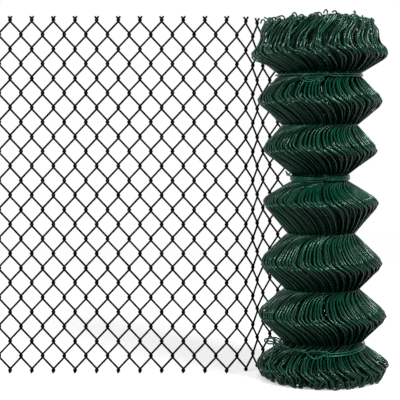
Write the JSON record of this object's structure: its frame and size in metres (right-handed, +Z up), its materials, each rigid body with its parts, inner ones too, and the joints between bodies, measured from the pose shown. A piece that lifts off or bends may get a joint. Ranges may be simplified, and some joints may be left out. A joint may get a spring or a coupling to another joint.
{
  "type": "roll of wire fencing",
  "caption": "Pleated roll of green plastic-coated chain-link fencing standing on its end, held by three wire ties, with a length of its diamond mesh paid out flat beside it.",
  "frame": {"origin": "on the roll's axis, at the floor that the roll stands on", "axes": "+Z up along the roll's axis; the paid-out length runs towards -X; +Y points away from the side with the ties' bows"},
  "size_m": [1.1256, 0.384, 1.0055],
  "materials": {
    "mesh_wire": "dark green plastic coating on steel wire, glossy",
    "tie_wire": "dark green plastic coating on steel wire, glossy"
  },
  "bodies": {
    "root": {"fence_roll": "mesh_wire", "picket_01": "mesh_wire", "picket_02": "mesh_wire", "picket_03": "mesh_wire", "picket_04": "mesh_wire", "picket_05": "mesh_wire", "picket_06": "mesh_wire", "picket_07": "mesh_wire", "picket_08": "mesh_wire", "picket_09": "mesh_wire", "picket_10": "mesh_wire", "picket_11": "mesh_wire", "picket_12": "mesh_wire", "picket_13": "mesh_wire", "picket_14": "mesh_wire", "picket_15": "mesh_wire", "picket_16": "mesh_wire", "picket_17": "mesh_wire", "picket_18": "mesh_wire", "picket_19": "mesh_wire", "picket_20": "mesh_wire", "picket_21": "mesh_wire", "picket_22": "mesh_wire", "picket_23": "mesh_wire", "picket_24": "mesh_wire", "picket_25": "mesh_wire", "picket_26": "mesh_wire", "picket_27": "mesh_wire", "tie_lower": "tie_wire", "tie_middle": "tie_wire", "tie_upper": "tie_wire"}
  },
  "joints": []
}
